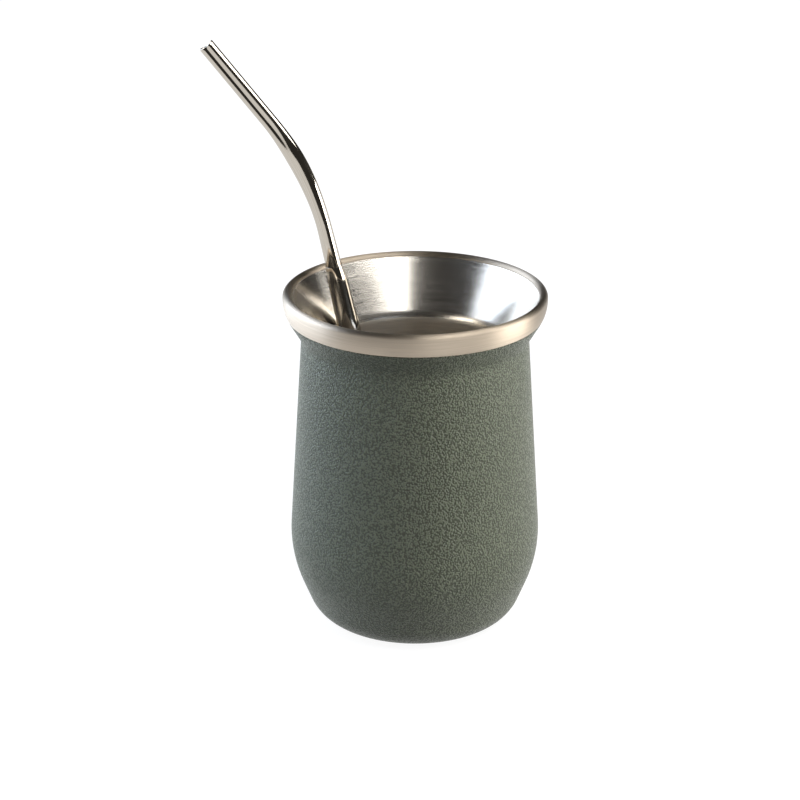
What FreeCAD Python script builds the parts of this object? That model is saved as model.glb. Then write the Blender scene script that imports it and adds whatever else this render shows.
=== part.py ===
"""Double-wall steel mate cup with its bent metal straw (bombilla).

Millimetres. The cup stands on z = 0 with its axis on +Z, and the straw leans
towards -X. Pieces, one STEP file each:

painted_shell   the coated outer wall and the base, up to the bare band
steel_liner     the band, the rolled lip, the funnel, the throat and the vessel
straw_filter    the closed, pierced lower tube that stands on the cup's floor
straw_tube      the drinking tube pushed into it, bent and pressed flat above
"""
import FreeCAD
import Part
import math
import os

os.makedirs("parts", exist_ok=True)

V = FreeCAD.Vector

# ---- cup, outside ---------------------------------------------------------
RIM_R = 42.0          # radius over the rolled lip
HEIGHT = 110.84       # table to the top of the lip
FLARE_OUT = 5.77      # how far the lip stands out from the neck
FLARE_DROP = 5.34     # lip top down to where the flare turns upright
FLARE_FILLET = 12.0
NECK_DROP = 14.88     # lip top down to the neck
NECK_FILLET = 5.5
BELLY_OUT = 4.43      # how far the belly stands out from the neck
BELLY_Z = 23.1
BELLY_FILLET = 42.9
BASE_IN = 9.61        # belly in to where the lower cone would meet the table
BASE_FILLET = 12.4
RECESS_R = 17.5       # shallow recess pressed into the underside
RECESS_DEPTH = 0.8
RECESS_FILLET = 0.7
BAND_DROP = 7.28      # lip top down to the edge of the coating
BAND_EDGE = 0.3       # rounding of the two edges that meet there
SHELL_WALL = 0.6

# ---- cup, inside ----------------------------------------------------------
LIP_R = 1.37          # radius of the rolled lip itself
LINER_WALL = 0.6
THROAT_IN = 11.6      # lip's outer radius in to the throat
THROAT_DROP = 18.77   # lip top down to the throat
THROAT_FILLET = 8.0
FLOOR_Z = 9.0
FLOOR_FILLET = 8.0
LIP_ROOT = 0.55       # solid metal under the centre of the lip

# ---- straw ----------------------------------------------------------------
SEAT_GAP = 0.3        # straw to throat and straw to floor
TOUCH_ANGLE = 143.1   # where round the throat the straw leans, degrees
LEAN = 13.07          # straw's lean from upright
LEAN_TURN = 8.0       # turn of the lean plane from -X towards +Y
TUBE_R = 2.62         # drinking tube where it enters the filter tube
TUBE_WALL = 0.45
TUBE_FIT = 0.16       # radial gap of the tube in the filter tube's neck
SOCKET_DEPTH = 8.0    # length of that neck
FILTER_TOP = 22.5     # throat up to the filter tube's upper end
SWAGE = 4.0           # length over which that end is drawn in on the tube
SWAGE_LIP = 0.15      # wall left at the drawn-in end
SWAGE_FILLET = 20.0
FILTER_FLARE = 0.37   # filter tube's growth in radius from its neck down
FILTER_WALL = 0.45
HOLE_R = 0.6
HOLE_ROWS = 5
HOLES_ROUND = 6
HOLE_PITCH = 3.2      # between rows, along the tube
HOLE_START = 5.0      # tube's lower end up to the first row
STRAW_RISE = 33.8     # throat up to the start of the bend
BEND_ANGLE = 26.65
BEND_R = 88.0
MOUTH_RUN = 30.8      # straight mouthpiece past the bend
WAIST_UP = 3.0        # start of the bend up to the slimmest place
WAIST_IN = 0.17       # tube's loss in radius there
PRESS_UP = 25.4       # start of the bend up to where the tube is pressed widest
PRESS_OUT = 0.33      # gain in half width there
PRESS_IN = 0.37       # loss in half depth there
MOUTH_HALF_W = 2.58
MOUTH_HALF_D = 1.75
GROOVE = 0.45         # shallow groove along the mouthpiece's front
GROOVE_SHARE = 0.42   # groove's half width over the mouthpiece's half width
TIP_SCOOP = 0.5       # depth of the hollow across the mouth end
TIP_SCOOP_R = 5.3
STATIONS = 16         # sections along the drinking tube
ROUND_POINTS = 16     # points round one section

# ---- derived places -------------------------------------------------------
neck_r = RIM_R - FLARE_OUT
neck_z = HEIGHT - NECK_DROP
flare_z = HEIGHT - FLARE_DROP
belly_r = neck_r + BELLY_OUT
base_r = belly_r - BASE_IN
band_z = HEIGHT - BAND_DROP
lip_z = HEIGHT - LIP_R
lip_inner_r = RIM_R - 2 * LIP_R
throat_r = RIM_R - THROAT_IN
throat_z = HEIGHT - THROAT_DROP
filter_neck_r = TUBE_R + TUBE_FIT + FILTER_WALL
filter_r = filter_neck_r + FILTER_FLARE


def unit(a, b):
    """Unit direction in the (r, z) plane from a to b, and the distance."""
    dr = b[0] - a[0]
    dz = b[1] - a[1]
    length = math.hypot(dr, dz)
    return (dr / length, dz / length), length


def rounded(corners):
    """Edges through (r, z, fillet) corners, in the plane y = 0."""
    edges = []
    last = (corners[0][0], corners[0][1])
    for before, corner, after in zip(corners, corners[1:], corners[2:]):
        radius = corner[2]
        start = corner[:2]
        end = start
        if radius > 0:
            back, _ = unit(corner, before)
            ahead, _ = unit(corner, after)
            half = 0.5 * math.acos(back[0] * ahead[0] + back[1] * ahead[1])
            run = radius / math.tan(half)
            start = (corner[0] + back[0] * run, corner[1] + back[1] * run)
            end = (corner[0] + ahead[0] * run, corner[1] + ahead[1] * run)
            middle, _ = unit((0, 0), (back[0] + ahead[0], back[1] + ahead[1]))
            reach = radius / math.sin(half) - radius
            top = (corner[0] + middle[0] * reach, corner[1] + middle[1] * reach)
        add_line(edges, last, start)
        if radius > 0:
            arc = Part.Arc(V(start[0], 0, start[1]), V(top[0], 0, top[1]),
                           V(end[0], 0, end[1]))
            edges.append(arc.toShape())
        last = end
    add_line(edges, last, corners[-1])
    return edges


def add_line(edges, a, b):
    """Append the straight edge from a to b, unless it has no length."""
    if math.hypot(b[0] - a[0], b[1] - a[1]) > 1e-6:
        edges.append(Part.makeLine(V(a[0], 0, a[1]), V(b[0], 0, b[1])))


def inset(corners, depth):
    """The same chain moved sideways by depth, to the left of its direction."""
    moved = []
    lines = []
    for a, b in zip(corners, corners[1:]):
        along, _ = unit(a, b)
        left = (-along[1], along[0])
        lines.append(((a[0] + left[0] * depth, a[1] + left[1] * depth), along))
    moved.append((corners[0][0], lines[0][0][1], 0))
    for (p, d), (q, e), corner in zip(lines, lines[1:], corners[1:]):
        turn = d[0] * e[1] - d[1] * e[0]
        step = ((q[0] - p[0]) * e[1] - (q[1] - p[1]) * e[0]) / turn
        radius = corner[2]
        if radius > 0:
            radius = radius - depth if turn > 0 else radius + depth
        moved.append((p[0] + d[0] * step, p[1] + d[1] * step, max(radius, 0)))
    end, along = lines[-1]
    length = unit(corners[-2], corners[-1])[1]
    moved.append((end[0] + along[0] * length, end[1] + along[1] * length, 0))
    return moved


def turned(edges):
    """Solid of revolution about Z of the closed outline the edges make."""
    face = Part.Face(Part.Wire(Part.__sortEdges__(edges)))
    return face.revolve(V(0, 0, 0), V(0, 0, 1), 360)


def outside():
    """Corners of the cup's outer line, from under the base to the lip."""
    return [
        (0, RECESS_DEPTH, 0),
        (RECESS_R - RECESS_DEPTH, RECESS_DEPTH, RECESS_FILLET),
        (RECESS_R, 0, RECESS_FILLET),
        (base_r, 0, BASE_FILLET),
        (belly_r, BELLY_Z, BELLY_FILLET),
        (neck_r, neck_z, NECK_FILLET),
        (RIM_R, flare_z, FLARE_FILLET),
        (RIM_R, lip_z - LIP_ROOT, 0),
    ]


def outer_skin():
    """One wall's thickness of the cup's outside, base to lip."""
    outer = outside()
    inner = inset(outer, SHELL_WALL)
    edges = rounded(outer) + rounded(inner)
    add_line(edges, outer[0], inner[0])
    add_line(edges, outer[-1], inner[-1])
    return turned(edges)


def slab(low, high):
    """A wide disc between two heights, used to part the skin."""
    return Part.makeCylinder(2 * RIM_R, high - low, V(0, 0, low))


def round_edge(solid, z, size):
    """Round the outermost circular edge at height z."""
    rims = [e for e in solid.Edges
            if abs(e.BoundBox.ZMin - z) < 1e-4 and abs(e.BoundBox.ZMax - z) < 1e-4]
    widest = max(e.BoundBox.XMax for e in rims)
    outer = [e for e in rims if e.BoundBox.XMax > widest - 1e-3]
    return solid.makeFillet(size, outer)


def painted_shell():
    """Coated wall and base, up to the bare band's lower edge."""
    lower = outer_skin().common(slab(-1, band_z))
    return round_edge(lower.Solids[0], band_z, BAND_EDGE)


def steel_liner():
    """Vessel, throat, funnel and rolled lip, with the bare band outside."""
    band = outer_skin().common(slab(band_z, HEIGHT)).Solids[0]
    root_z = lip_z - LIP_ROOT
    inner = [
        (0, FLOOR_Z, 0),
        (throat_r, FLOOR_Z, FLOOR_FILLET),
        (throat_r, throat_z, THROAT_FILLET),
        (lip_inner_r, lip_z, 0),
    ]
    back = inset([(r, z, f) for r, z, f in inner], -LINER_WALL)
    slope, _ = unit(back[2], back[3])
    reach = (root_z - back[2][1]) / slope[1]
    back[3] = (back[2][0] + slope[0] * reach, root_z, 0)
    lip = [
        (lip_inner_r, lip_z, 0),
        (lip_inner_r, HEIGHT, LIP_R),
        (RIM_R, HEIGHT, LIP_R),
        (RIM_R, root_z, 0),
    ]
    edges = rounded(inner) + rounded(lip) + rounded(back)
    add_line(edges, inner[0], back[0])
    add_line(edges, lip[-1], back[-1])
    body = turned(edges).fuse(band).removeSplitter()
    return round_edge(body.Solids[0], band_z, BAND_EDGE)


# ---- straw's own frame ----------------------------------------------------
lean = math.radians(LEAN)
turn = math.radians(LEAN_TURN)
away = V(-math.cos(turn), math.sin(turn), 0)
front = V(-math.sin(turn), -math.cos(turn), 0)
up = away * math.sin(lean) + V(0, 0, math.cos(lean))
side = away * math.cos(lean) - V(0, 0, math.sin(lean))
touch_r = throat_r - SEAT_GAP - filter_r / math.cos(lean)
touch = V(touch_r * math.cos(math.radians(TOUCH_ANGLE)),
          touch_r * math.sin(math.radians(TOUCH_ANGLE)), throat_z)
foot = (FLOOR_Z + SEAT_GAP + filter_r - throat_z) / math.cos(lean) - filter_r
bend_length = BEND_R * math.radians(BEND_ANGLE)
tip = STRAW_RISE + bend_length + MOUTH_RUN


def on_path(distance):
    """Point, direction and outward side at a distance up from the throat."""
    bent = min(max(distance - STRAW_RISE, 0), bend_length)
    angle = bent / BEND_R
    start = touch + up * min(distance, STRAW_RISE)
    point = start + (up * math.sin(angle) + side * (1 - math.cos(angle))) * BEND_R
    along = up * math.cos(angle) + side * math.sin(angle)
    across = side * math.cos(angle) - up * math.sin(angle)
    past = max(distance - STRAW_RISE - bend_length, 0)
    return point + along * past, along, across


def section_size(distance):
    """Half width, half depth and groove of the tube at a distance up."""
    stations = [
        (FILTER_TOP, TUBE_R, TUBE_R, 0),
        (STRAW_RISE + WAIST_UP, TUBE_R - WAIST_IN, TUBE_R - WAIST_IN, 0),
        (STRAW_RISE + PRESS_UP, TUBE_R + PRESS_OUT, TUBE_R - PRESS_IN, 0.3 * GROOVE),
        (STRAW_RISE + bend_length, MOUTH_HALF_W, MOUTH_HALF_D, GROOVE),
    ]
    if distance <= stations[0][0]:
        return stations[0][1:]
    for low, high in zip(stations, stations[1:]):
        if distance <= high[0]:
            share = (distance - low[0]) / (high[0] - low[0])
            ease = share * share * (3 - 2 * share)
            return tuple(a + (b - a) * ease for a, b in zip(low[1:], high[1:]))
    return stations[-1][1:]


def section_wire(distance, thinner):
    """Closed smooth outline of the tube, thinner by a wall for the bore."""
    point, _, across = on_path(distance)
    half_w, half_d, groove = section_size(distance)
    ring = []
    for i in range(ROUND_POINTS):
        angle = 2 * math.pi * i / ROUND_POINTS
        x = (half_w - thinner) * math.cos(angle)
        y = (half_d - thinner) * math.sin(angle)
        if y > 0:
            dip = math.exp(-(x / (GROOVE_SHARE * half_w)) ** 2)
            y -= groove * dip * math.sin(angle)
        ring.append(point + across * x + front * y)
    curve = Part.BSplineCurve()
    curve.interpolate(Points=ring, PeriodicFlag=True)
    return Part.Wire(curve.toShape())


def tube_loft(low, high, thinner):
    """Smooth solid through the sections between two distances."""
    steps = [low + (high - low) * i / (STATIONS - 1) for i in range(STATIONS)]
    return Part.makeLoft([section_wire(s, thinner) for s in steps], True, False)


def straw_tube():
    """Drinking tube from its end in the filter tube's neck to the mouth."""
    low = FILTER_TOP - SOCKET_DEPTH + TUBE_FIT
    tube = tube_loft(low, tip, 0).cut(tube_loft(low - 1, tip + 1, TUBE_WALL))
    point, along, _ = on_path(tip)
    middle = point + along * (TIP_SCOOP_R - TIP_SCOOP) - front * RIM_R
    scoop = Part.makeCylinder(TIP_SCOOP_R, 2 * RIM_R, middle, front)
    return tube.cut(scoop).Solids[0]


def filter_profile():
    """Closed outline of the filter tube in its own (r, along) plane."""
    socket_low = FILTER_TOP - SOCKET_DEPTH
    bore_r = filter_r - FILTER_WALL
    neck_bore = TUBE_R + TUBE_FIT
    outer = [
        (0, foot, 0),
        (filter_r, foot, filter_r),
        (filter_r, 0, 0),
        (filter_neck_r, FILTER_TOP - SWAGE, SWAGE_FILLET),
        (neck_bore + SWAGE_LIP, FILTER_TOP, 0),
        (neck_bore, FILTER_TOP, 0),
        (neck_bore, socket_low, 0),
        (bore_r - 0.5 * FILTER_FLARE, socket_low - FILTER_WALL, 0),
        (bore_r, -FILTER_WALL, 0),
        (bore_r, foot + FILTER_WALL, bore_r),
        (0, foot + FILTER_WALL, 0),
    ]
    edges = rounded(outer)
    add_line(edges, outer[-1], outer[0])
    return edges


def straw_filter():
    """Pierced lower tube, standing on the floor and resting on the throat."""
    tube = turned(filter_profile())
    drills = []
    for row in range(HOLE_ROWS):
        z = foot + HOLE_START + HOLE_PITCH * row
        for k in range(HOLES_ROUND):
            angle = 2 * math.pi * (k + 0.5 * (row % 2)) / HOLES_ROUND
            way = V(math.cos(angle), math.sin(angle), 0)
            drills.append(Part.makeCylinder(HOLE_R, 2 * filter_r, V(0, 0, z), way))
    tube = tube.cut(Part.makeCompound(drills)).Solids[0]
    place = FreeCAD.Placement(touch, FreeCAD.Rotation(V(0, 0, 1), up))
    tube.Placement = place
    return tube


for node, make in (("painted_shell", painted_shell), ("steel_liner", steel_liner),
                   ("straw_filter", straw_filter), ("straw_tube", straw_tube)):
    shape = make()
    shape.exportStep("parts/" + node + ".step")
    print(node, shape.isValid(), round(shape.Volume / 1000, 2), "cm3",
          [round(v, 2) for v in (shape.BoundBox.XMin, shape.BoundBox.YMin,
                                 shape.BoundBox.ZMin, shape.BoundBox.XMax,
                                 shape.BoundBox.YMax, shape.BoundBox.ZMax)])
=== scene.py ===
# %% [markdown]
# # A mate cup with its metal straw
# A mate cup is a small steel vessel for sipping an infusion through a metal straw. This
# one has two walls with a vacuum between them: a coated outer wall, and a bare liner
# whose rolled lip and outer band show above the coating. The straw is a drinking tube
# pushed into a wider, pierced tube that stands on the cup's floor.
#
# The CAD model is loaded first. The boxes of its parts fix where the lip, the band and
# the floor are, and each piece below is drawn from those places.

# %% The frame
import math

import bmesh
import bpy
from mathutils import Matrix, Vector


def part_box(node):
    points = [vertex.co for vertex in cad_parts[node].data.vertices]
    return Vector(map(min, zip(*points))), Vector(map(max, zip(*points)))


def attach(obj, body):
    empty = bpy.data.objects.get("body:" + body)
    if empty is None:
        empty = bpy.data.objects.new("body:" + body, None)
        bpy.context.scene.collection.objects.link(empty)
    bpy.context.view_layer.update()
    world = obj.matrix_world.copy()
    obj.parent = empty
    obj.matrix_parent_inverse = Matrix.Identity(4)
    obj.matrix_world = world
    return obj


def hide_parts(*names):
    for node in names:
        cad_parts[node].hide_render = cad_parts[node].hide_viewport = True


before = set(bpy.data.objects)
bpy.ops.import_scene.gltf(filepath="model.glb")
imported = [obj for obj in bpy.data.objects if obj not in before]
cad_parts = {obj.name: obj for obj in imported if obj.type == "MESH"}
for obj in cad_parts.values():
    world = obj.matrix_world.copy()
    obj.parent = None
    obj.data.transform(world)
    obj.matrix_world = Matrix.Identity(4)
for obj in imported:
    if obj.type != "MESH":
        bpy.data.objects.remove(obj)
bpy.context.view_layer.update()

MM = 0.001
shell_low, shell_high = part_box("painted_shell")
liner_low, liner_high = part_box("steel_liner")
rim_r = (liner_high[0] - liner_low[0]) / 2
top_z = liner_high[2]
band_z = shell_high[2]
print("rim radius", round(rim_r / MM, 2), "top", round(top_z / MM, 2),
      "band from", round(band_z / MM, 2))

# %% [markdown]
# ## Outlines with rounded corners
# Spun metal is all revolved outlines: straight runs joined by arcs. An outline could be
# typed in as a long list of points, but then no radius could be changed. Here it is a
# short list of corners, each with the radius of its arc, and one function turns that
# into points, close together on the arcs and only as many as needed on the runs.

# %% Corners to points
def between(a, b):
    """Unit direction from a to b in the (radius, height) plane, and the distance."""
    step = (b[0] - a[0], b[1] - a[1])
    length = math.hypot(*step)
    return (step[0] / length, step[1] / length), length


def arc_points(corner, before, after, turn=math.radians(3)):
    """Points of the arc that rounds one (radius, height, rounding) corner."""
    back, _ = between(corner, before)
    ahead, _ = between(corner, after)
    half = 0.5 * math.acos(back[0] * ahead[0] + back[1] * ahead[1])
    run = corner[2] / math.tan(half)
    middle, _ = between((0, 0), (back[0] + ahead[0], back[1] + ahead[1]))
    reach = corner[2] / math.sin(half)
    centre = Vector((corner[0] + middle[0] * reach, corner[1] + middle[1] * reach))
    first = Vector((corner[0] + back[0] * run, corner[1] + back[1] * run)) - centre
    last = Vector((corner[0] + ahead[0] * run, corner[1] + ahead[1] * run)) - centre
    swing = first.angle_signed(last)
    count = max(2, math.ceil(abs(swing) / turn))
    points = []
    for i in range(count + 1):
        spoke = first.copy()
        spoke.rotate(Matrix.Rotation(-swing * i / count, 2))
        points.append(tuple(centre + spoke))
    return points


def outline(corners):
    """Points through (radius, height, rounding) corners, arcs included."""
    points = [tuple(corners[0][:2])]
    for before, corner, after in zip(corners, corners[1:], corners[2:]):
        if corner[2] > 0:
            points += arc_points(corner, before, after)
        else:
            points.append(tuple(corner[:2]))
    points.append(tuple(corners[-1][:2]))
    kept = points[:1]
    for point in points[1:]:
        if math.dist(point, kept[-1]) > 1e-6:
            kept.append(point)
    return kept


def inset(corners, depth):
    """The corners moved to the left of their direction, with their radii to suit."""
    lines = []
    for a, b in zip(corners, corners[1:]):
        along, _ = between(a, b)
        lines.append(((a[0] - along[1] * depth, a[1] + along[0] * depth), along))
    moved = [(corners[0][0], lines[0][0][1], 0)]
    for (p, d), (q, e), corner in zip(lines, lines[1:], corners[1:]):
        turn = d[0] * e[1] - d[1] * e[0]
        step = ((q[0] - p[0]) * e[1] - (q[1] - p[1]) * e[0]) / turn
        radius = corner[2] - depth if turn > 0 else corner[2] + depth
        if corner[2] == 0:
            radius = 0
        moved.append((p[0] + d[0] * step, p[1] + d[1] * step, max(radius, 0)))
    (p, d), length = lines[-1], between(corners[-2], corners[-1])[1]
    return moved + [(p[0] + d[0] * length, p[1] + d[1] * length, 0)]


# %% [markdown]
# ## A lathe made of nodes
# Blender can spin an outline with its Spin tool or the Screw modifier. A node tree is
# clearer to reuse: it lays a flat grid with one column for each step round the axis,
# reads the outline's point for each row, and turns it about Z. The seam and the points
# on the axis are then merged, so the skin is closed.

# %% The lathe tree
def add_node(tree, kind, **settings):
    """A new node with its plain settings filled in."""
    made = tree.nodes.new(kind)
    for name, value in settings.items():
        setattr(made, name, value)
    return made


def lathe_tree():
    """Turns the points of an outline in the XZ plane into a closed skin."""
    tree = bpy.data.node_groups.new("Lathe", "GeometryNodeTree")
    face = tree.interface
    face.new_socket("Outline", in_out="INPUT", socket_type="NodeSocketGeometry")
    steps = face.new_socket("Steps Round", in_out="INPUT", socket_type="NodeSocketInt")
    steps.default_value = 240
    face.new_socket("Finish", in_out="INPUT", socket_type="NodeSocketMaterial")
    face.new_socket("Skin", in_out="OUTPUT", socket_type="NodeSocketGeometry")
    join = tree.links.new
    given = add_node(tree, "NodeGroupInput")
    size = add_node(tree, "GeometryNodeAttributeDomainSize", component="MESH")
    columns = add_node(tree, "FunctionNodeIntegerMath", operation="ADD")
    columns.inputs[1].default_value = 1
    grid = add_node(tree, "GeometryNodeMeshGrid")
    index = add_node(tree, "GeometryNodeInputIndex")
    row = add_node(tree, "FunctionNodeIntegerMath", operation="MODULO")
    column = add_node(tree, "FunctionNodeIntegerMath", operation="DIVIDE_FLOOR")
    place = add_node(tree, "GeometryNodeInputPosition")
    spot = add_node(tree, "GeometryNodeSampleIndex", data_type="FLOAT_VECTOR")
    share = add_node(tree, "ShaderNodeMath", operation="DIVIDE")
    angle = add_node(tree, "ShaderNodeMath", operation="MULTIPLY")
    angle.inputs[1].default_value = 2 * math.pi
    turn = add_node(tree, "ShaderNodeVectorRotate", rotation_type="Z_AXIS")
    put = add_node(tree, "GeometryNodeSetPosition")
    merge = add_node(tree, "GeometryNodeMergeByDistance")
    merge.inputs["Distance"].default_value = 2e-6
    smooth = add_node(tree, "GeometryNodeSetShadeSmooth")
    real = add_node(tree, "GeometryNodeRealizeInstances")
    paint = add_node(tree, "GeometryNodeSetMaterial")
    done = add_node(tree, "NodeGroupOutput")
    join(given.outputs["Outline"], size.inputs["Geometry"])
    join(given.outputs["Steps Round"], columns.inputs[0])
    join(columns.outputs[0], grid.inputs["Vertices X"])
    join(size.outputs["Point Count"], grid.inputs["Vertices Y"])
    for part in (row, column):
        join(index.outputs[0], part.inputs[0])
        join(size.outputs["Point Count"], part.inputs[1])
    join(given.outputs["Outline"], spot.inputs["Geometry"])
    join(place.outputs[0], spot.inputs["Value"])
    join(row.outputs[0], spot.inputs["Index"])
    join(column.outputs[0], share.inputs[0])
    join(given.outputs["Steps Round"], share.inputs[1])
    join(share.outputs[0], angle.inputs[0])
    join(spot.outputs["Value"], turn.inputs["Vector"])
    join(angle.outputs[0], turn.inputs["Angle"])
    join(grid.outputs["Mesh"], put.inputs["Geometry"])
    join(turn.outputs[0], put.inputs["Position"])
    join(put.outputs[0], merge.inputs["Geometry"])
    join(merge.outputs[0], smooth.inputs["Geometry"])
    join(smooth.outputs[0], real.inputs["Geometry"])
    join(real.outputs[0], paint.inputs["Geometry"])
    join(given.outputs["Finish"], paint.inputs["Material"])
    join(paint.outputs[0], done.inputs["Skin"])
    return tree


# %% [markdown]
# A modifier's inputs are set by their identifiers, and the result is then copied out as
# a plain mesh: the export keeps meshes, not node trees. Faces are made to point out of
# the metal, because a lathe doesn't know which side of an outline is the inside.

# %% Baking a tree to a mesh
def bake(name, mesh, tree, **inputs):
    """The plain object that a tree makes of a mesh, with its faces pointing out."""
    rough = bpy.data.objects.new(name + "_rough", mesh)
    bpy.context.scene.collection.objects.link(rough)
    nodes = rough.modifiers.new("Build", "NODES")
    nodes.node_group = tree
    for item in tree.interface.items_tree:
        if item.in_out == "INPUT" and item.name in inputs:
            nodes[item.identifier] = inputs[item.name]
    graph = bpy.context.evaluated_depsgraph_get()
    made = bpy.data.meshes.new_from_object(rough.evaluated_get(graph))
    bpy.data.objects.remove(rough)
    face_outwards(made)
    piece = bpy.data.objects.new(name, made)
    made.name = name
    bpy.context.scene.collection.objects.link(piece)
    return piece


def face_outwards(mesh):
    """Recalculate the normals of a closed mesh."""
    work = bmesh.new()
    work.from_mesh(mesh)
    bmesh.ops.recalc_face_normals(work, faces=work.faces)
    work.to_mesh(mesh)
    work.free()


def outline_mesh(name, points):
    """A mesh of loose points, the outline that the lathe reads."""
    mesh = bpy.data.meshes.new(name)
    mesh.from_pydata([(r, 0, z) for r, z in points], [], [])
    return mesh


def report(piece):
    """Print a piece's size and how many faces it has."""
    low = [min(v.co[k] for v in piece.data.vertices) for k in range(3)]
    high = [max(v.co[k] for v in piece.data.vertices) for k in range(3)]
    size = [round((b - a) / MM, 1) for a, b in zip(low, high)]
    print(piece.name, size, "mm,", len(piece.data.polygons), "faces")


lathe = lathe_tree()

# %% [markdown]
# ## Finishes
# Each finish is a small node tree on a Principled shader. Patterns are read from object
# coordinates, which are in metres, so a scale of 1000 means one cell for each millimetre.

# %% A finish's nodes
def new_finish(name):
    """A material with its node tree, its shader and its object coordinates."""
    material = bpy.data.materials.new(name)
    material.use_nodes = True
    tree = material.node_tree
    shader = tree.nodes["Principled BSDF"]
    where = add_node(tree, "ShaderNodeTexCoord").outputs["Object"]
    return material, tree, shader, where


def noise(tree, where, scale, detail=2.0, rough=0.5, distort=0.0):
    """Noise at a scale in cells for each metre, as one value."""
    made = add_node(tree, "ShaderNodeTexNoise")
    made.inputs["Scale"].default_value = scale
    made.inputs["Detail"].default_value = detail
    made.inputs["Roughness"].default_value = rough
    made.inputs["Distortion"].default_value = distort
    tree.links.new(where, made.inputs["Vector"])
    return made.outputs["Fac"]


def spread(tree, value, low, high, to_low, to_high):
    """A value's range stretched to another, clamped at both ends."""
    made = add_node(tree, "ShaderNodeMapRange", interpolation_type="SMOOTHSTEP")
    for name, number in (("From Min", low), ("From Max", high),
                         ("To Min", to_low), ("To Max", to_high)):
        made.inputs[name].default_value = number
    tree.links.new(value, made.inputs["Value"])
    return made.outputs["Result"]


def blend(tree, share, first, second):
    """Two colours mixed by a value."""
    made = add_node(tree, "ShaderNodeMix", data_type="RGBA")
    tree.links.new(share, made.inputs["Factor"])
    for socket, colour in zip((made.inputs[6], made.inputs[7]), (first, second)):
        if isinstance(colour, tuple):
            socket.default_value = (*colour, 1)
        else:
            tree.links.new(colour, socket)
    return made.outputs[2]


def calculate(tree, operation, first, second):
    """One step of arithmetic on two values, either of them a number."""
    made = add_node(tree, "ShaderNodeMath", operation=operation)
    for socket, value in zip(made.inputs, (first, second)):
        if isinstance(value, (int, float)):
            socket.default_value = value
        else:
            tree.links.new(value, socket)
    return made.outputs[0]


def raise_surface(tree, shader, height, strength, depth):
    """Bump from a height value, depth in metres."""
    made = add_node(tree, "ShaderNodeBump")
    made.inputs["Strength"].default_value = strength
    made.inputs["Distance"].default_value = depth
    tree.links.new(height, made.inputs["Height"])
    tree.links.new(made.outputs["Normal"], shader.inputs["Normal"])


def linear(red, green, blue):
    """The shader's colour for a colour given as 0 to 255."""
    def one(value):
        value = value / 255
        return value / 12.92 if value < 0.04045 else ((value + 0.055) / 1.055) ** 2.4
    return one(red), one(green), one(blue)


# %% [markdown]
# ### Hammered coat
# The outside is a baked powder coat with a hammered effect: the resin pulls into tiny
# worm-like dimples under a millimetre apart. Soft round cells set the even spacing, noise
# joins them into worms, and the same value drives the colour, the gloss and the relief:
# the hollows are painted darker as shade and the crests lighter as highlight.

# %% The coat's material
def hammered_coat():
    """Grey-green powder coat, dimpled, a little glossier on the raised parts, with painted shade
    in the hollows and painted highlight on the crests.
    """
    material, tree, shader, where = new_finish("hammered_coat")
    worms = noise(tree, where, 1500, detail=0.3, distort=0.8)
    cells = add_node(tree, "ShaderNodeTexVoronoi", feature="SMOOTH_F1")
    cells.inputs["Scale"].default_value = 1600
    cells.inputs["Smoothness"].default_value = 0.4
    tree.links.new(where, cells.inputs["Vector"])
    bumps = spread(tree, cells.outputs["Distance"], 0.1, 0.75, 1, 0)
    ridges = spread(tree, calculate(tree, "ADD", calculate(tree, "MULTIPLY", worms, 0.9), bumps),
                    0.45, 1.15, 0, 1)
    clouds = noise(tree, where, 60, detail=2)
    grains = noise(tree, where, 3600, detail=1)
    # painted shade: the hollow colours are darker, and painted highlight: the crest colours are
    # lighter, both following the relief
    hollow = blend(tree, clouds, linear(85, 90, 76), linear(91, 96, 82))
    painted_highlight_crest = blend(tree, clouds, linear(119, 127, 107), linear(127, 134, 114))
    tree.links.new(blend(tree, ridges, hollow, painted_highlight_crest), shader.inputs["Base Color"])
    gloss = spread(tree, ridges, 0, 1, 0.42, 0.3)
    tree.links.new(gloss, shader.inputs["Roughness"])
    shader.inputs["Specular IOR Level"].default_value = 0.35
    height = calculate(tree, "ADD", ridges, calculate(tree, "MULTIPLY", grains, 0.3))
    raise_surface(tree, shader, height, 1.0, 0.0004)
    return material


coat = hammered_coat()

# %% [markdown]
# ### Spun steel
# Steel that was turned on a lathe keeps fine lines round its axis. Noise that is slow
# round the axis and very fast along the outline gives them: the point is first moved to
# a small circle, so the pattern has no seam, and its height is kept at full scale. The
# band and lip are satin, the funnel is brighter with a fine blasted grain, and the
# vessel below is plain drawn steel, its colour painted lighter than the funnel's as
# painted light for the little light that reaches inside the cup.

# %% The steel finishes
def round_the_axis(tree, where, slow, fast):
    """Coordinates that change slowly round Z and quickly along the outline."""
    split = add_node(tree, "ShaderNodeSeparateXYZ")
    tree.links.new(where, split.inputs[0])
    x, y, z = split.outputs
    radius = calculate(tree, "SQRT", calculate(
        tree, "ADD", calculate(tree, "MULTIPLY", x, x), calculate(tree, "MULTIPLY", y, y)), 0)
    radius = calculate(tree, "MAXIMUM", radius, 1e-5)
    join = add_node(tree, "ShaderNodeCombineXYZ")
    pieces = (calculate(tree, "MULTIPLY", calculate(tree, "DIVIDE", x, radius), slow),
              calculate(tree, "MULTIPLY", calculate(tree, "DIVIDE", y, radius), slow),
              calculate(tree, "MULTIPLY", calculate(tree, "ADD", z, radius), fast))
    for value, socket in zip(pieces, join.inputs):
        tree.links.new(value, socket)
    return join.outputs[0]


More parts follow.
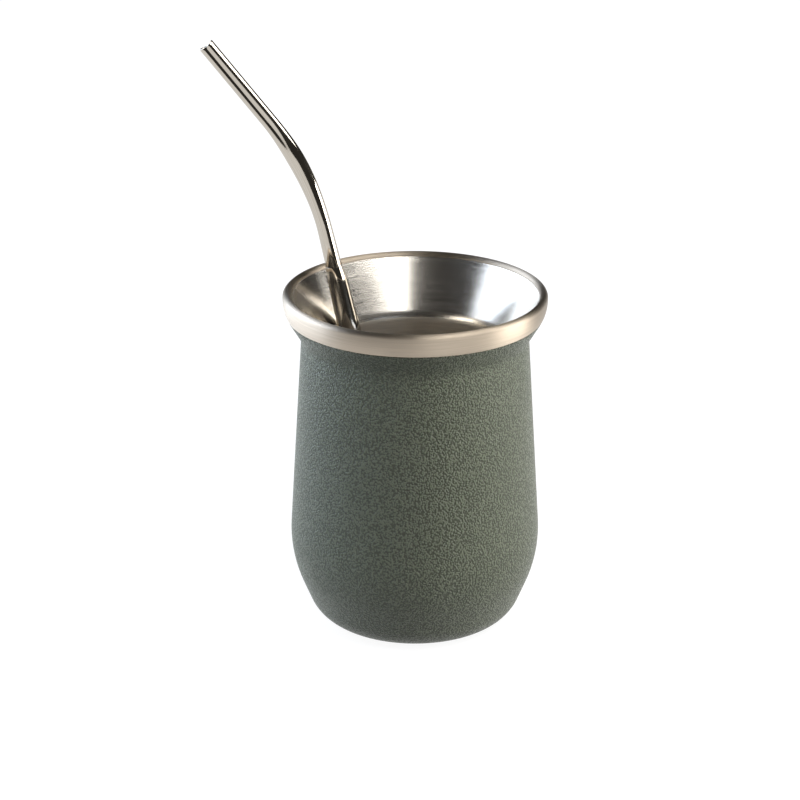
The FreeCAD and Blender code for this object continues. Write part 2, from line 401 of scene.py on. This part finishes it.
def spun_steel(name, colour, rough, lines, grain, brushed=0.0):
    """Bare steel with lines round the axis and an even grain, each of a strength."""
    material, tree, shader, where = new_finish(name)
    shader.inputs["Metallic"].default_value = 1.0
    shader.inputs["Anisotropic"].default_value = brushed
    shader.inputs["Anisotropic Rotation"].default_value = 0.25
    round_z = add_node(tree, "ShaderNodeTangent", direction_type="RADIAL", axis="Z")
    tree.links.new(round_z.outputs[0], shader.inputs["Tangent"])
    turned = round_the_axis(tree, where, 2.2, 2200)
    marks = noise(tree, turned, 1.0, detail=3, rough=0.6)
    speckle = noise(tree, where, 2300, detail=2, rough=0.6)
    haze = noise(tree, where, 45, detail=3)
    dull = tuple(c * 0.86 for c in colour)
    tone = blend(tree, spread(tree, marks, 0.3, 0.7, 0, 1), dull, colour)
    tree.links.new(tone, shader.inputs["Base Color"])
    wear = calculate(tree, "ADD", spread(tree, haze, 0.3, 0.7, rough - 0.03, rough + 0.04),
                     spread(tree, marks, 0.3, 0.7, -0.03, 0.03))
    tree.links.new(wear, shader.inputs["Roughness"])
    height = calculate(tree, "ADD", calculate(tree, "MULTIPLY", marks, lines),
                       calculate(tree, "MULTIPLY", speckle, grain))
    raise_surface(tree, shader, height, 0.5, 0.00002)
    return material


band_steel = spun_steel("band_steel", linear(196, 183, 166), 0.5, 0.2, 0.1, brushed=0.85)
funnel_steel = spun_steel("funnel_steel", linear(222, 217, 209), 0.2, 0.15, 2.2)
# painted light: the vessel's steel is given a lighter colour than the funnel's, standing in for
# light that hardly reaches inside
vessel_steel_painted_light = spun_steel("vessel_steel_painted_light", linear(232, 224, 212), 0.38, 0.03, 0.1)

# %% [markdown]
# ## The coated outer wall
# The wall swells from a narrow base to a belly, tapers to a neck, and flares out under
# the band. It is one outline out and back, 0.6 mm thick, with the coating's edge
# rounded where it stops below the bare band, and a shallow recess under the base.

# %% Coated wall
WALL = 0.6 * MM
EDGE = 0.3 * MM              # how far from its edge the coating starts to round off
EDGE_ROUNDING = 0.28 * MM
FLARE_END = 1.92 * MM        # lip top down to where the wall's own line is cut off
RECESS_R = 17.5 * MM
RECESS_DEPTH = 0.8 * MM
RECESS_ROUNDING = 0.7 * MM
BELLY_Z = 23.1 * MM
neck_r = rim_r - 5.77 * MM
neck_z = top_z - 14.88 * MM
belly_r = neck_r + 4.43 * MM
base_r = belly_r - 9.61 * MM
flare_z = top_z - 5.34 * MM


def outside_corners(last_z):
    """Corners of the cup's outer line, from under the base up to the band."""
    return [
        (0, RECESS_DEPTH, 0),
        (RECESS_R - RECESS_DEPTH, RECESS_DEPTH, RECESS_ROUNDING),
        (RECESS_R, 0, RECESS_ROUNDING),
        (base_r, 0, 12.4 * MM),
        (belly_r, BELLY_Z, 42.9 * MM),
        (neck_r, neck_z, 5.5 * MM),
        (rim_r, flare_z, 12.0 * MM),
        (rim_r, last_z, 0),
    ]


def cut_above(points, z):
    """The part of a rising outline below a height, ended exactly on it."""
    kept = []
    for a, b in zip(points, points[1:]):
        kept.append(a)
        if a[1] <= z < b[1]:
            share = (z - a[1]) / (b[1] - a[1])
            return kept + [(a[0] + (b[0] - a[0]) * share, z)]
    return kept


def coated_outline():
    """Closed outline of the coated wall, from the axis out, up, and back inside."""
    corners = outside_corners(top_z - FLARE_END)
    outer = cut_above(outline(corners), band_z)
    inner = cut_above(outline(inset(corners, WALL)), band_z)
    edge_r = outer[-1][0]
    outer = cut_above(outer, band_z - EDGE)
    below = outer[-1]
    edge = (edge_r, band_z, EDGE_ROUNDING)
    corner = arc_points(edge, below, inner[-1], math.radians(12))
    return outer + corner + inner[::-1]


wall = bake("coated_wall", outline_mesh("coated_outline", coated_outline()), lathe,
            **{"Steps Round": 256, "Finish": coat})
report(wall)

# %% [markdown]
# ## Band, lip, funnel and vessel
# The liner is one spun piece. Its band continues the wall's flare, its lip is rolled
# over to a full round, and inside the lip the funnel runs down to the throat, where it
# turns over a soft nose into the straight vessel. The outline goes down the inside
# first and comes back up the hidden side, so that it closes at the axis.

# %% Liner outline
LIP_R = 1.37 * MM
NOSE_ROUNDING = 8.0 * MM     # where the funnel turns into the vessel
FLOOR_ROUNDING = 8.0 * MM
FULL_ROUND = 0.999           # a hair under a half circle, so that two arcs can meet
lip_z = top_z - LIP_R
lip_inner_r = rim_r - 2 * LIP_R
root_z = lip_z - 0.55 * MM
throat_r = rim_r - 11.6 * MM
throat_z = top_z - 18.77 * MM
floor_z = liner_low[2] + WALL


def liner_outline():
    """Closed outline of the liner, starting on the axis at the vessel's floor."""
    inside = [
        (0, floor_z, 0),
        (throat_r, floor_z, FLOOR_ROUNDING),
        (throat_r, throat_z, NOSE_ROUNDING),
        (lip_inner_r, lip_z, 0.12 * MM),
        (lip_inner_r, top_z, LIP_R * FULL_ROUND),
        (rim_r, top_z, LIP_R * FULL_ROUND),
        (rim_r, root_z, 0),
    ]
    hidden = inset(inside[:3] + [(lip_inner_r, lip_z, 0)], -WALL)
    slope, _ = between(hidden[2], hidden[3])
    reach = (root_z - hidden[2][1]) / slope[1]
    hidden[3] = (hidden[2][0] + slope[0] * reach, root_z, 0)
    corners = outside_corners(root_z)
    outer = outline(corners)
    band = [p for p in outer if p[1] > band_z + EDGE]
    foot = cut_above(outer, band_z)[-1]
    back = outline(inset(corners, WALL))
    behind = [p for p in back if p[1] > band_z]
    heel = cut_above(back, band_z)[-1]
    edge = (foot[0], band_z, EDGE_ROUNDING)
    corner = arc_points(edge, heel, band[0], math.radians(12))
    return (outline(inside)[:-1] + band[::-1] + corner[::-1] + [heel] + behind
            + outline(hidden)[::-1])


# %% Liner piece
BELOW_NOSE = 0.6 * MM        # throat down to where the plain vessel begins


def zone_of(point):
    """Which finish a point of the liner has: 0 band and lip, 1 funnel, 2 vessel."""
    radius = math.hypot(point.x, point.y)
    if point.z < throat_z - BELOW_NOSE:
        return 2
    return 1 if radius < lip_inner_r - 0.02 * MM else 0


liner = bake("steel_liner_spun", outline_mesh("liner_outline", liner_outline()), lathe,
             **{"Steps Round": 256, "Finish": band_steel})
liner.data.materials.clear()
for finish in (band_steel, funnel_steel, vessel_steel_painted_light):
    liner.data.materials.append(finish)
for face in liner.data.polygons:
    face.material_index = zone_of(face.center)
report(liner)

# %% [markdown]
# ## The straw's line
# The straw stands on the vessel's floor, leans on the throat, runs straight up, bends
# over one long arc, and ends in a straight mouthpiece. Both tubes are made in the
# straw's own directions: up along it, side in the plane of its bend, and front square
# to that plane.

# %% Path of the straw
LEAN = math.radians(13.07)
LEAN_TURN = math.radians(8.0)    # the lean's turn from -X towards +Y
TOUCH = math.radians(143.1)      # where round the throat the straw leans
SEAT_GAP = 0.3 * MM              # straw to throat and to floor
TUBE_R = 2.62 * MM
TUBE_WALL = 0.45 * MM
TUBE_FIT = 0.16 * MM             # play of the drinking tube in the filter tube
FILTER_WALL = 0.45 * MM
FILTER_FLARE = 0.37 * MM         # filter tube's growth from its neck down
FILTER_R = TUBE_R + TUBE_FIT + FILTER_WALL + FILTER_FLARE
FILTER_TOP = 22.5 * MM           # throat up to the filter tube's upper end
SOCKET = 8.0 * MM                # how deep the drinking tube sits in it
RISE = 33.8 * MM                 # throat up to the start of the bend
BEND = math.radians(26.65)
BEND_R = 88 * MM
MOUTH_RUN = 30.8 * MM

away = Vector((-math.cos(LEAN_TURN), math.sin(LEAN_TURN), 0))
front = Vector((-math.sin(LEAN_TURN), -math.cos(LEAN_TURN), 0))
up = away * math.sin(LEAN) + Vector((0, 0, math.cos(LEAN)))
side = away * math.cos(LEAN) - Vector((0, 0, math.sin(LEAN)))
touch_r = throat_r - SEAT_GAP - FILTER_R / math.cos(LEAN)
touch = Vector((touch_r * math.cos(TOUCH), touch_r * math.sin(TOUCH), throat_z))
bend_length = BEND_R * BEND
tip = RISE + bend_length + MOUTH_RUN
foot = (floor_z + SEAT_GAP + FILTER_R - throat_z) / math.cos(LEAN) - FILTER_R
print("straw length", round((tip - foot) / MM, 1), "mm")


def on_path(distance):
    """Point, direction and side of the straw at a distance up from the throat."""
    angle = min(max(distance - RISE, 0), bend_length) / BEND_R
    point = touch + up * min(distance, RISE)
    point = point + (up * math.sin(angle) + side * (1 - math.cos(angle))) * BEND_R
    along = up * math.cos(angle) + side * math.sin(angle)
    across = side * math.cos(angle) - up * math.sin(angle)
    return point + along * max(distance - RISE - bend_length, 0), along, across


# %% [markdown]
# ### Polished steel
# The straw is polished, with faint draw lines along it and small scuffs. The lines
# follow the tube through its bend, so they need the tube's own coordinates: the sweep
# below stores how far round and how far along each point is, as a UV map.

# %% The straw's material
def polished_steel():
    """Bright steel with lengthwise draw lines, read from the tube's UV map."""
    material, tree, shader, where = new_finish("polished_steel")
    shader.inputs["Metallic"].default_value = 1.0
    tube_map = add_node(tree, "ShaderNodeUVMap", uv_map="UVMap").outputs[0]
    stretch = add_node(tree, "ShaderNodeMapping")
    stretch.inputs["Scale"].default_value = (140, 3.0, 1)
    tree.links.new(tube_map, stretch.inputs["Vector"])
    lines = noise(tree, stretch.outputs[0], 1.0, detail=3, rough=0.6)
    scuffs = noise(tree, where, 160, detail=4, rough=0.65)
    tone = blend(tree, spread(tree, lines, 0.3, 0.7, 0, 1),
                 linear(172, 165, 154), linear(202, 195, 184))
    tree.links.new(tone, shader.inputs["Base Color"])
    wear = calculate(tree, "ADD", spread(tree, scuffs, 0.4, 0.75, 0.05, 0.11),
                     spread(tree, lines, 0.3, 0.7, -0.015, 0.015))
    tree.links.new(wear, shader.inputs["Roughness"])
    raise_surface(tree, shader, lines, 0.12, 0.00001)
    return material


straw_steel = polished_steel()

# %% [markdown]
# ## The drinking tube
# A tube that is pressed flat can't come from a plain bevelled curve, whose section is
# the same all along. It is swept by hand instead: a ring of points at each step, its
# half width, half depth and groove read from a short table, first up the outside, over
# the rounded mouth, and back down the bore.

# %% Section of the tube
GROOVE = 0.45 * MM
GROOVE_SHARE = 0.42      # groove's half width over the mouthpiece's half width
SCOOP = 0.5 * MM         # depth of the hollow across the mouth's end
SCOOP_HALF_W = 2.25 * MM
SCOOP_RUN = 4 * MM       # the end's length over which the rings take the hollow on
TUBE_SIDES = 72
STATIONS = [             # place along the straw, half width, half depth, groove
    (FILTER_TOP, TUBE_R, TUBE_R, 0),
    (RISE + 3.0 * MM, TUBE_R - 0.17 * MM, TUBE_R - 0.17 * MM, 0),
    (RISE + 25.4 * MM, TUBE_R + 0.33 * MM, TUBE_R - 0.37 * MM, 0.3 * GROOVE),
    (RISE + bend_length, 2.58 * MM, 1.75 * MM, GROOVE),
]


def section_size(distance):
    """Half width, half depth and groove at a distance up from the throat."""
    if distance <= STATIONS[0][0]:
        return STATIONS[0][1:]
    for low, high in zip(STATIONS, STATIONS[1:]):
        if distance <= high[0]:
            share = (distance - low[0]) / (high[0] - low[0])
            ease = share * share * (3 - 2 * share)
            return tuple(a + (b - a) * ease for a, b in zip(low[1:], high[1:]))
    return STATIONS[-1][1:]


def ring(distance, thinner):
    """One ring of points round the tube, and the mouth's hollow near its end."""
    point, along, across = on_path(distance)
    half_w, half_d, groove = section_size(distance)
    near = max(0.0, 1 - (tip - distance) / SCOOP_RUN) ** 2
    points = []
    for i in range(TUBE_SIDES):
        angle = 2 * math.pi * i / TUBE_SIDES
        x = (half_w - thinner) * math.cos(angle)
        y = (half_d - thinner) * math.sin(angle)
        if y > 0:
            dip = math.exp(-(x / (GROOVE_SHARE * half_w)) ** 2)
            y -= groove * dip * math.sin(angle)
        hollow = SCOOP * max(0.0, 1 - (x / SCOOP_HALF_W) ** 2) * near
        points.append(point + across * x + front * y - along * hollow)
    return points


# %% Sweep of the tube
UV_ALONG = 10            # UV units for each metre along a tube


def tube_rings():
    """Rings up the outside, over the mouth and down the bore, with their distances."""
    low = FILTER_TOP - SOCKET + TUBE_FIT
    lip = TUBE_WALL / 2
    steps, lip_steps = 110, 8
    climb = [low + (tip - lip - low) * i / steps for i in range(steps + 1)]
    rings = [(s, 0.0) for s in climb]
    for i in range(1, lip_steps):
        angle = math.pi * i / lip_steps
        rings.append((tip - lip + lip * math.sin(angle), lip * (1 - math.cos(angle))))
    return rings + [(s, TUBE_WALL) for s in reversed(climb)]


def swept_tube(name, rings):
    """A closed tube skin through the rings, with its UV map."""
    count = TUBE_SIDES
    mesh = bpy.data.meshes.new(name)
    points = [p for s, thinner in rings for p in ring(s, thinner)]
    total = len(rings)
    faces = []
    for j in range(total):
        for i in range(count):
            k = (j + 1) % total
            faces.append((j * count + i, j * count + (i + 1) % count,
                          k * count + (i + 1) % count, k * count + i))
    mesh.from_pydata(points, [], faces)
    layer = mesh.uv_layers.new(name="UVMap")
    for face in mesh.polygons:
        j, i = divmod(face.index, count)
        after = rings[j + 1][0] if j + 1 < total else rings[j][0]
        corners = ((i, rings[j][0]), (i + 1, rings[j][0]), (i + 1, after), (i, after))
        for loop, (u, v) in zip(face.loop_indices, corners):
            layer.data[loop].uv = (u / count, v * UV_ALONG)
    face_outwards(mesh)
    mesh.shade_smooth()
    piece = bpy.data.objects.new(name, mesh)
    bpy.context.scene.collection.objects.link(piece)
    return piece


drinking_tube = swept_tube("drinking_tube", tube_rings())
drinking_tube.data.materials.append(straw_steel)
report(drinking_tube)

# %% [markdown]
# ## The pierced filter tube
# The lower tube is turned on the lathe in its own upright frame, pierced by a ring
# pattern of drills, and then leaned into place. The drills repeat, so nodes place them:
# one cylinder on each of a set of points, realized and cut away in one Boolean.

# %% The piercing tree
def piercing_tree():
    """Cuts rows of holes, each row turned half a step from the one below."""
    tree = bpy.data.node_groups.new("Pierce", "GeometryNodeTree")
    face = tree.interface
    face.new_socket("Tube", in_out="INPUT", socket_type="NodeSocketGeometry")
    for name, kind in (("Rows", "Int"), ("Holes Round", "Int"), ("Hole Radius", "Float"),
                       ("Pitch", "Float"), ("First Row", "Float"), ("Reach", "Float")):
        face.new_socket(name, in_out="INPUT", socket_type="NodeSocket" + kind)
    face.new_socket("Finish", in_out="INPUT", socket_type="NodeSocketMaterial")
    face.new_socket("Pierced", in_out="OUTPUT", socket_type="NodeSocketGeometry")
    join = tree.links.new
    given = add_node(tree, "NodeGroupInput")
    total = add_node(tree, "FunctionNodeIntegerMath", operation="MULTIPLY")
    points = add_node(tree, "GeometryNodePoints")
    index = add_node(tree, "GeometryNodeInputIndex")
    row = add_node(tree, "FunctionNodeIntegerMath", operation="DIVIDE_FLOOR")
    place = add_node(tree, "FunctionNodeIntegerMath", operation="MODULO")
    odd = add_node(tree, "FunctionNodeIntegerMath", operation="MODULO")
    odd.inputs[1].default_value = 2
    drill = add_node(tree, "GeometryNodeMeshCylinder")
    drill.inputs["Vertices"].default_value = 20
    onto = add_node(tree, "GeometryNodeInstanceOnPoints")
    shift = add_node(tree, "GeometryNodeTranslateInstances")
    real = add_node(tree, "GeometryNodeRealizeInstances")
    cut = add_node(tree, "GeometryNodeMeshBoolean", operation="DIFFERENCE", solver="EXACT")
    spin = add_node(tree, "ShaderNodeCombineXYZ")
    spin.inputs["Y"].default_value = math.pi / 2
    height = add_node(tree, "ShaderNodeCombineXYZ")
    out = add_node(tree, "ShaderNodeCombineXYZ")
    real_all = add_node(tree, "GeometryNodeRealizeInstances")
    paint = add_node(tree, "GeometryNodeSetMaterial")
    done = add_node(tree, "NodeGroupOutput")
    join(given.outputs["Rows"], total.inputs[0])
    join(given.outputs["Holes Round"], total.inputs[1])
    join(total.outputs[0], points.inputs["Count"])
    for part in (row, place):
        join(index.outputs[0], part.inputs[0])
        join(given.outputs["Holes Round"], part.inputs[1])
    join(row.outputs[0], odd.inputs[0])
    half = calculate(tree, "MULTIPLY", odd.outputs[0], 0.5)
    step = calculate(tree, "ADD", place.outputs[0], half)
    turn = calculate(tree, "DIVIDE", step, given.outputs["Holes Round"])
    join(calculate(tree, "MULTIPLY", turn, 2 * math.pi), spin.inputs["Z"])
    rise = calculate(tree, "MULTIPLY", row.outputs[0], given.outputs["Pitch"])
    join(calculate(tree, "ADD", rise, given.outputs["First Row"]), height.inputs["Z"])
    join(height.outputs[0], points.inputs["Position"])
    join(given.outputs["Hole Radius"], drill.inputs["Radius"])
    join(given.outputs["Reach"], drill.inputs["Depth"])
    join(points.outputs[0], onto.inputs["Points"])
    join(drill.outputs["Mesh"], onto.inputs["Instance"])
    join(spin.outputs[0], onto.inputs["Rotation"])
    join(onto.outputs[0], shift.inputs["Instances"])
    join(calculate(tree, "MULTIPLY", given.outputs["Reach"], 0.5), out.inputs["Z"])
    join(out.outputs[0], shift.inputs["Translation"])
    join(shift.outputs[0], real.inputs["Geometry"])
    join(given.outputs["Tube"], cut.inputs["Mesh 1"])
    join(real.outputs[0], cut.inputs["Mesh 2"])
    join(cut.outputs[0], real_all.inputs["Geometry"])
    join(real_all.outputs[0], paint.inputs["Geometry"])
    join(given.outputs["Finish"], paint.inputs["Material"])
    join(paint.outputs[0], done.inputs["Pierced"])
    return tree


# %% Filter tube
SWAGE = 4.0 * MM         # length over which the upper end is drawn in on the tube
SEAM_GAP = 0.03 * MM     # what is left between the two tubes at that end
SEAM_LIP = 0.09 * MM     # how far the end still steps out from the tube
SEAM_RUN = 0.8 * MM      # how deep the tight seam goes before the bore widens
BORE_STEP = 0.18 * MM    # step in the bore under the socket


def filter_outline():
    """Closed outline of the filter tube, its lower end round, its top a socket."""
    neck_r_out = FILTER_R - FILTER_FLARE
    bore_r = FILTER_R - FILTER_WALL
    neck_bore = TUBE_R + TUBE_FIT
    seam_r = TUBE_R + SEAM_GAP
    socket_low = FILTER_TOP - SOCKET
    return outline([
        (0, foot, 0),
        (FILTER_R, foot, FILTER_R * FULL_ROUND),
        (FILTER_R, 0, 30 * MM),
        (neck_r_out, FILTER_TOP - SWAGE, 20 * MM),
        (seam_r + SEAM_LIP, FILTER_TOP, 0.04 * MM),
        (seam_r, FILTER_TOP, 0.02 * MM),
        (seam_r, FILTER_TOP - SEAM_RUN, 0),
        (neck_bore, FILTER_TOP - 1.5 * SEAM_RUN, 0),
        (neck_bore, socket_low, 0),
        (bore_r - BORE_STEP, socket_low - FILTER_WALL, 0),
        (bore_r, -FILTER_WALL, 0),
        (bore_r, foot + FILTER_WALL, bore_r * FULL_ROUND),
        (0, foot + FILTER_WALL, 0),
    ])


blank = bake("filter_blank", outline_mesh("filter_outline", filter_outline()), lathe,
             **{"Steps Round": TUBE_SIDES, "Finish": straw_steel})
filter_tube = bake("filter_tube", blank.data, piercing_tree(),
                   **{"Rows": 5, "Holes Round": 6, "Hole Radius": 0.6 * MM,
                      "Pitch": 3.2 * MM, "First Row": foot + 5.0 * MM,
                      "Reach": 2 * FILTER_R, "Finish": straw_steel})
bpy.data.objects.remove(blank)

# %% [markdown]
# The UV map gives the tube the same draw lines as the one above it. It is worked out
# while the tube still stands upright on its own axis, and only then is it leaned over.

# %% Lean the filter tube into place
def map_upright(mesh):
    """UV map of an upright tube: how far round it, and how far along."""
    layer = mesh.uv_layers.get("UVMap") or mesh.uv_layers.new(name="UVMap")
    for face in mesh.polygons:
        middle = math.atan2(face.center.y, face.center.x)
        for loop in face.loop_indices:
            spot = mesh.vertices[mesh.loops[loop].vertex_index].co
            angle = math.atan2(spot.y, spot.x)
            angle += 2 * math.pi * round((middle - angle) / (2 * math.pi))
            layer.data[loop].uv = (angle / (2 * math.pi), spot.z * UV_ALONG)


map_upright(filter_tube.data)
filter_tube.data.set_sharp_from_angle(angle=math.radians(35))
stand = Vector((0, 0, 1)).rotation_difference(up).to_matrix().to_4x4()
filter_tube.data.transform(Matrix.Translation(touch) @ stand)
report(filter_tube)

# %% [markdown]
# ## Joining the pieces to the model
# Each piece stands for its CAD part, which the physics model keeps and which is hidden
# here, and rides on the one body.

# %% Replace and ride
for piece, node, material_slot in (
        (wall, "painted_shell", "hammered_coat"),
        (liner, "steel_liner", "liner_steel"),
        (filter_tube, "straw_filter", "straw_steel"),
        (drinking_tube, "straw_tube", "straw_steel")):
    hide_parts(node)
    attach(piece, "root")

# %% [markdown]
# ## Table and studio
# Polished steel shows the room, so the room is part of the finish. A warm lamp stands
# high at the right and a smaller one low beside the cup, and a large cool one stands at
# the left and a little behind. The room between them stays dark, and it draws the dark
# bands down the straw and the funnel. The white table glows for the eye and for mirrors
# only, a little more far out, so that its edge melts into the white behind it.

# %% What the eye and the mirrors see
def kinds_of_ray(tree):
    """Two values: 1 for a ray from the eye, and 1 for one off a gloss or through glass."""
    path = add_node(tree, "ShaderNodeLightPath")
    mirrored = calculate(tree, "MAXIMUM", path.outputs["Is Glossy Ray"],
                         path.outputs["Is Transmission Ray"])
    return path.outputs["Is Camera Ray"], mirrored


# %% Table
def table_top(radius=0.9, count=96):
    """A round white table, not part of the object."""
    mesh = bpy.data.meshes.new("table_top")
    ring_points = [(radius * math.cos(2 * math.pi * i / count),
                    radius * math.sin(2 * math.pi * i / count), 0) for i in range(count)]
    mesh.from_pydata(ring_points, [], [tuple(range(count))])
    table = bpy.data.objects.new("table_top", mesh)
    bpy.context.scene.collection.objects.link(table)
    material, tree, shader, where = new_finish("white_table")
    tree.nodes.remove(shader)
    seen = calculate(tree, "MAXIMUM", *kinds_of_ray(tree))
    apart = add_node(tree, "ShaderNodeVectorMath", operation="LENGTH")
    tree.links.new(where, apart.inputs[0])
    matt = add_node(tree, "ShaderNodeBsdfDiffuse")
    matt.inputs["Color"].default_value = (0.25, 0.25, 0.25, 1)
    faint = add_node(tree, "ShaderNodeBsdfDiffuse")
    faint.inputs["Color"].default_value = (0.16, 0.16, 0.16, 1)
    glow = add_node(tree, "ShaderNodeEmission")
    glow.inputs["Color"].default_value = (1, 1, 1, 1)
    tree.links.new(spread(tree, apart.outputs["Value"], 0.12, 0.5, 0.93, 1),
                   glow.inputs["Strength"])
    both = add_node(tree, "ShaderNodeAddShader")
    mix = add_node(tree, "ShaderNodeMixShader")
    tree.links.new(faint.outputs[0], both.inputs[0])
    tree.links.new(glow.outputs[0], both.inputs[1])
    tree.links.new(seen, mix.inputs[0])
    tree.links.new(matt.outputs[0], mix.inputs[1])
    tree.links.new(both.outputs[0], mix.inputs[2])
    tree.links.new(mix.outputs[0], tree.nodes["Material Output"].inputs["Surface"])
    mesh.materials.append(material)
    return table


table_top()

# %% Lights
middle = Vector((0, 0, 60 * MM))
WARM = (1.0, 0.985, 0.955)
COOL = (0.72, 0.83, 1.0)


def soft_light(name, turn, lift, width, height, power, colour, distance=0.6):
    """A large soft light, turned from the camera's side and lifted, in degrees."""
    data = bpy.data.lights.new(name, "AREA")
    data.shape = "RECTANGLE"
    data.size = width
    data.size_y = height
    data.energy = power
    data.color = colour
    lamp = bpy.data.objects.new(name, data)
    a, e = math.radians(turn), math.radians(lift)
    way = Vector((math.sin(a) * math.cos(e), -math.cos(a) * math.cos(e), math.sin(e)))
    lamp.location = middle + way * distance
    lamp.rotation_euler = way.to_track_quat("Z", "Y").to_euler()
    lamp.visible_camera = False
    bpy.context.scene.collection.objects.link(lamp)
    return lamp


soft_light("high_light", 49, 50, 0.66, 0.22, 3.0, WARM)
soft_light("right_light", 88, 6, 0.36, 0.26, 2.6, WARM)
soft_light("left_light", -112, 18, 0.8, 0.62, 6.9, COOL)

# %% World
def studio():
    """White all round for the camera, and for mirrors a low white backdrop."""
    world = bpy.data.worlds.new("studio")
    world.use_nodes = True
    bpy.context.scene.world = world
    room = world.node_tree
    seen, mirrored = kinds_of_ray(room)
    split = add_node(room, "ShaderNodeSeparateXYZ")
    room.links.new(add_node(room, "ShaderNodeTexCoord").outputs["Generated"], split.inputs[0])
    low = spread(room, split.outputs["Z"], 0.0, 0.08, 1, 0)
    behind = spread(room, split.outputs["Y"], -0.1, 0.3, 0, 1)
    backdrop = calculate(room, "MULTIPLY", mirrored, calculate(room, "MULTIPLY", low, behind))
    share = calculate(room, "MAXIMUM", seen, backdrop)
    dim = room.nodes["Background"]
    dim.inputs["Color"].default_value = (0.042, 0.04, 0.037, 1)
    white = add_node(room, "ShaderNodeBackground")
    white.inputs["Color"].default_value = (1, 1, 1, 1)
    either = add_node(room, "ShaderNodeMixShader")
    room.links.new(share, either.inputs[0])
    room.links.new(dim.outputs[0], either.inputs[1])
    room.links.new(white.outputs[0], either.inputs[2])
    room.links.new(either.outputs[0], room.nodes["World Output"].inputs["Surface"])


studio()
bpy.context.scene.view_settings.view_transform = "Standard"

# %% [markdown]
# ## Camera
# A long lens from about a metre away, looking down by some 21 degrees, shows the cup's
# mouth as a narrow ellipse and keeps its sides nearly straight.

# %% Camera
LENS = 136.05
PITCH = math.radians(22.2)
AIM_Z = 53.76 * MM           # height on the cup's axis that the pitch is measured to
STAND_OFF = 976.4 * MM
AIM_UP = 0.01939             # small turns of the view, as tangents
AIM_SIDE = -0.004962


def make_camera():
    """The camera, aimed a little above the cup's middle."""
    data = bpy.data.cameras.new("camera")
    data.lens = LENS
    data.sensor_width = 36
    data.clip_start = 0.05
    camera = bpy.data.objects.new("camera", data)
    bpy.context.scene.collection.objects.link(camera)
    forward = Vector((0, math.cos(PITCH), -math.sin(PITCH)))
    above = Vector((0, math.sin(PITCH), math.cos(PITCH)))
    camera.location = Vector((0, 0, AIM_Z)) - forward * STAND_OFF
    aim = forward + above * AIM_UP + Vector((AIM_SIDE, 0, 0))
    camera.rotation_euler = aim.to_track_quat("-Z", "Y").to_euler()
    bpy.context.scene.camera = camera


make_camera()
